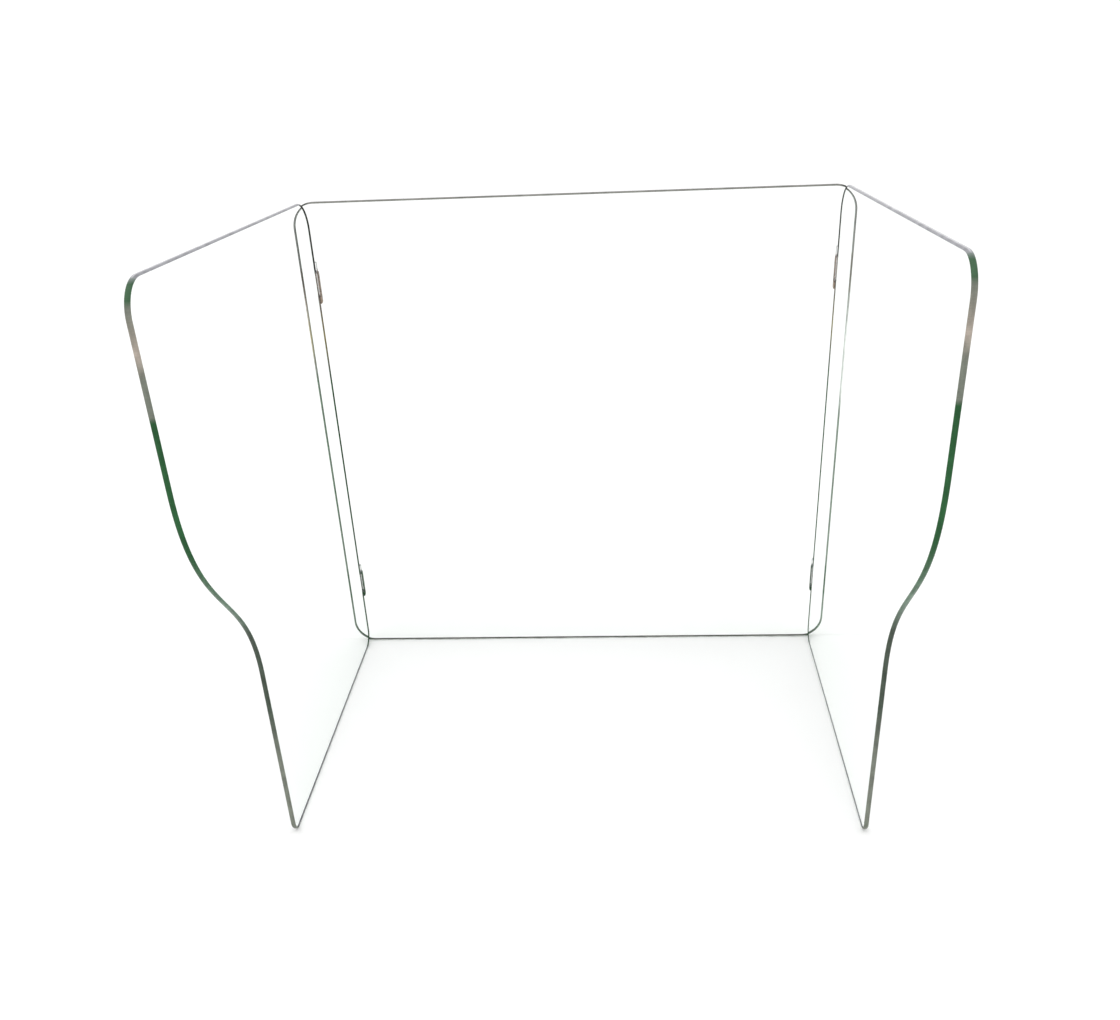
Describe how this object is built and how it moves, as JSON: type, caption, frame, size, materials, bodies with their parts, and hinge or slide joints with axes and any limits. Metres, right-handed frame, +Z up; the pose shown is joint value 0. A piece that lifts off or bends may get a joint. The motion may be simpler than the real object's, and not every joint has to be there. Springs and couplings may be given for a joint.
{
  "type": "sneeze guard",
  "caption": "Clear knock-down tabletop sneeze guard: a flat front panel with rounded corners and side wings that hook into its slots.",
  "frame": {"origin": "on the table, at the centre of the footprint of the whole guard", "axes": "+X along the front panel, towards the right wing; +Y from the wings towards the front panel; +Z up"},
  "size_m": [0.66, 0.523, 0.6292],
  "materials": {
    "clear_acrylic": "clear cast acrylic with flame-polished edges"
  },
  "bodies": {
    "front_panel": {"front_panel": "clear_acrylic"},
    "left_wing": {"left_wing": "clear_acrylic"},
    "right_wing": {"right_wing": "clear_acrylic"}
  },
  "joints": [
    {"name": "left_wing_lift", "type": "slide", "parent": "front_panel", "child": "left_wing", "axis": [0, 0, 1], "range_m": [0, 0.0105]},
    {"name": "right_wing_lift", "type": "slide", "parent": "front_panel", "child": "right_wing", "axis": [0, 0, 1], "range_m": [0, 0.0105]}
  ]
}
